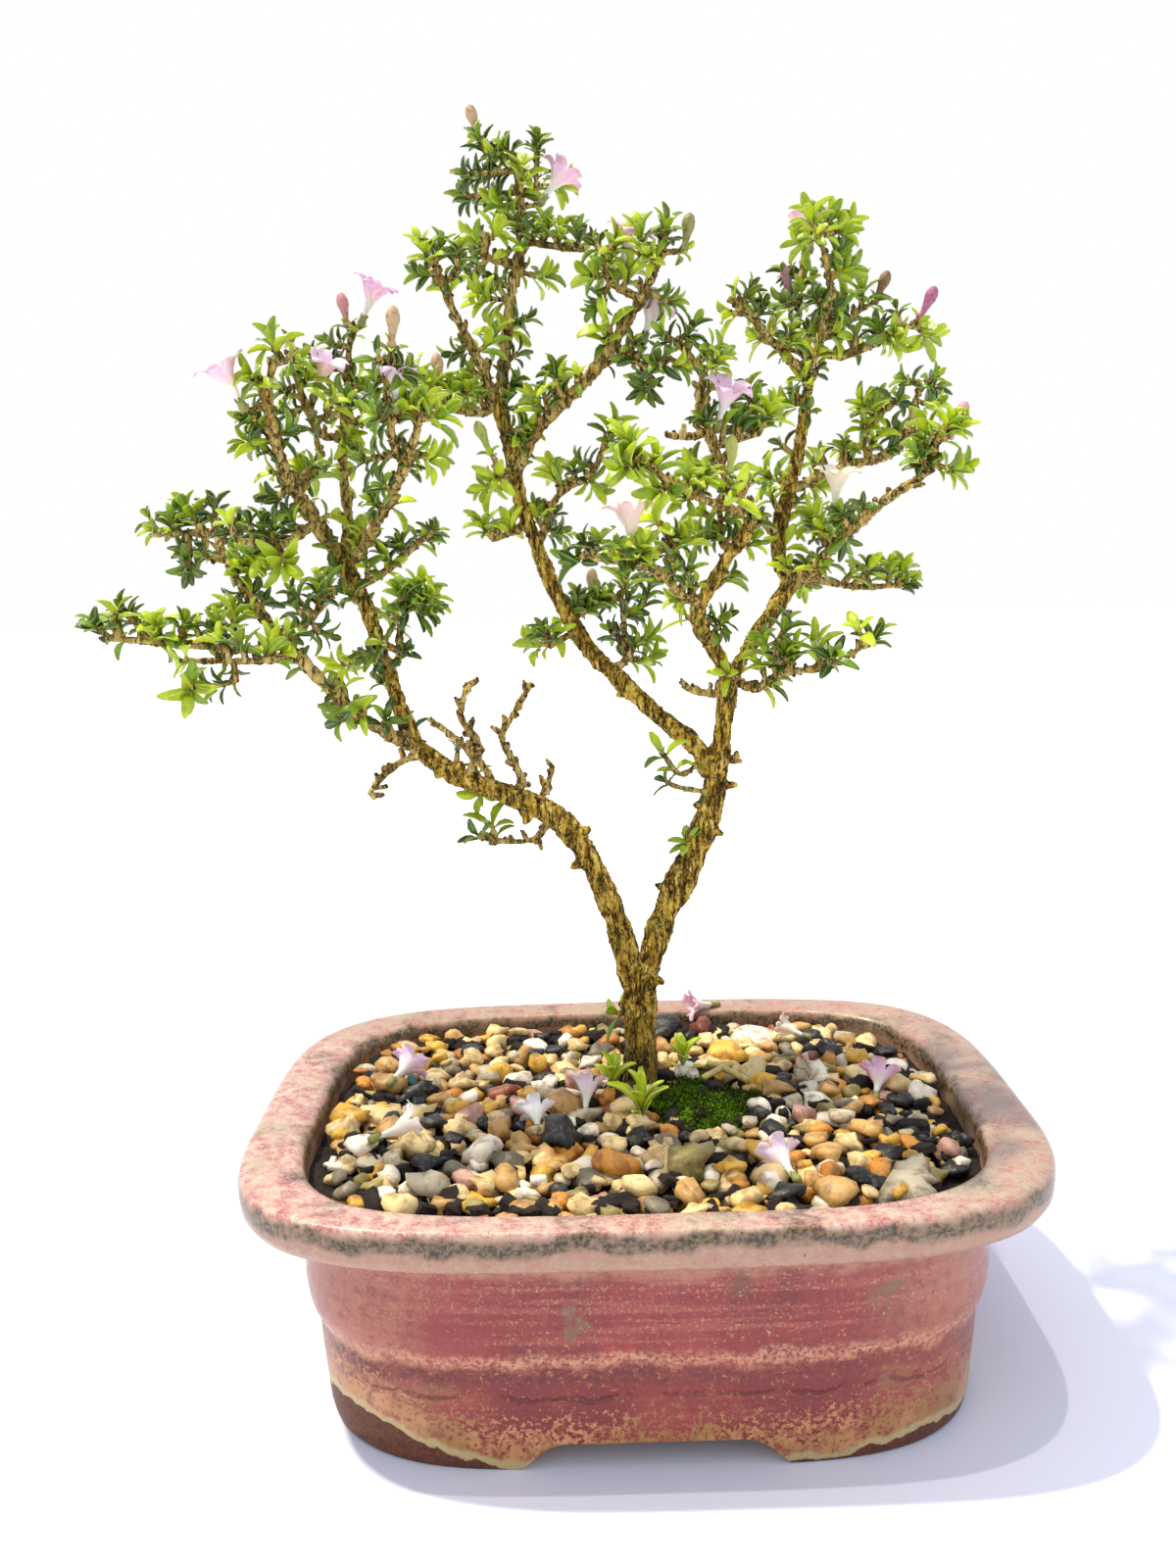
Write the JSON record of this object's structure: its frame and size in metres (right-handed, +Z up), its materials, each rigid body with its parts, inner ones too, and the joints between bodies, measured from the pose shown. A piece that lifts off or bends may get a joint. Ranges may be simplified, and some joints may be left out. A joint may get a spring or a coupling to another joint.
{
  "type": "potted serissa bonsai",
  "caption": "Small flowering serissa bonsai with a forked trunk and airy leafy crown, in a glazed oval-cornered pot with gravel and moss.",
  "frame": {"origin": "middle of the whole plant's base on the table, under the centre of its bounding box", "axes": "+Z up, +X to the right along the pot's long front, +Y away from the front"},
  "size_m": [0.1912, 0.1212, 0.2705],
  "materials": {
    "glaze": "glossy",
    "screen": "matte",
    "soil": "matte",
    "gravel": "matte",
    "moss": "matte",
    "bark": "matte",
    "root": "matte",
    "withered": "matte",
    "petal": "satin",
    "faded_petal": "matte",
    "leaf": "satin"
  },
  "bodies": {
    "root": {"branch_crest": "leaf", "branch_crown_left": "leaf", "branch_crown_middle": "leaf", "branch_crown_right": "leaf", "branch_east_high": "leaf", "branch_east_low": "leaf", "branch_east_reach": "leaf", "branch_inner_rise": "leaf", "branch_left_arm": "leaf", "branch_right_crown": "leaf", "branch_top_left": "leaf", "drain_screen_left": "screen", "drain_screen_right": "screen", "fallen_back_right": "faded_petal", "fallen_by_trunk": "faded_petal", "fallen_front": "faded_petal", "fallen_front_left": "faded_petal", "fallen_left": "faded_petal", "fallen_middle": "faded_petal", "fallen_on_rim": "faded_petal", "fallen_right": "faded_petal", "fallen_star": "faded_petal", "flower_crest": "petal", "flower_crown": "petal", "flower_east": "petal", "flower_east_low": "petal", "flower_far_left": "petal", "flower_inner_east": "petal", "flower_inner_left": "petal", "flower_inner_right": "petal", "flower_pale": "petal", "flower_post": "petal", "flower_upper_right": "petal", "gravel": "gravel", "moss": "moss", "pot": "glaze", "shoot_front": "leaf", "shoot_left": "leaf", "shoot_right": "leaf", "soil": "soil", "spray_arm_fork": "leaf", "spray_cluster": "leaf", "spray_cluster_mid": "leaf", "spray_knot": "leaf", "spray_left_dark": "leaf", "spray_left_stem": "leaf", "spray_long_left": "leaf", "spray_low_left": "leaf", "spray_low_right": "leaf", "spray_mid_rise": "leaf", "spray_reach": "leaf", "spray_step": "leaf", "spray_wire": "leaf", "surface_rootlets": "root", "trunk_and_limbs": "bark", "withered_leaf": "withered"}
  },
  "joints": []
}
